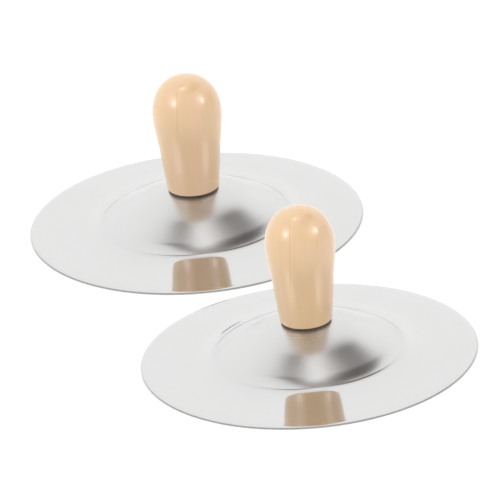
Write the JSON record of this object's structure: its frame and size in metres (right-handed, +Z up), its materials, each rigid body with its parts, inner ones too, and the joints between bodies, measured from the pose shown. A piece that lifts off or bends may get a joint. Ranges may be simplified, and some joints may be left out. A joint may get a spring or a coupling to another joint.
{
  "type": "pair of hand cymbals",
  "caption": "Pair of thin round hand cymbals, each a spun metal plate with a low bell and a turned wooden knob handle held from inside by a screw.",
  "frame": {"origin": "midway between the two handle axes, on the plane that both rims rest on", "axes": "+Z up along both handle axes; +Y from the front (right) cymbal's side to the rear (left) cymbal's side; +X to the right"},
  "size_m": [0.1952, 0.3016, 0.0734],
  "materials": {
    "polished_steel": "mirror-polished thin steel sheet with very fine circular polishing lines",
    "lacquered_wood": "pale close-grained hardwood under clear semi-gloss lacquer",
    "insert_brass": "turned brass",
    "dark_leather": "thin dark fibre or leather washer, matt",
    "black_rubber": "black moulded rubber",
    "zinc_steel": "bright zinc-plated steel washers",
    "screw_steel": "bright zinc-plated steel screw"
  },
  "bodies": {
    "left_cymbal": {"left_plate": "polished_steel", "left_handle": "lacquered_wood", "left_threaded_insert": "insert_brass", "left_upper_cushion": "dark_leather", "left_lower_cushion": "black_rubber", "left_flat_washer": "zinc_steel", "left_lock_washer": "zinc_steel", "left_screw": "screw_steel"},
    "right_cymbal": {"right_plate": "polished_steel", "right_handle": "lacquered_wood", "right_threaded_insert": "insert_brass", "right_upper_cushion": "dark_leather", "right_lower_cushion": "black_rubber", "right_flat_washer": "zinc_steel", "right_lock_washer": "zinc_steel", "right_screw": "screw_steel"}
  },
  "joints": [
    {"name": "right_cymbal_lift", "type": "slide", "parent": "left_cymbal", "child": "right_cymbal", "axis": [0, 0, 1], "range_m": [0, 0.15]}
  ]
}
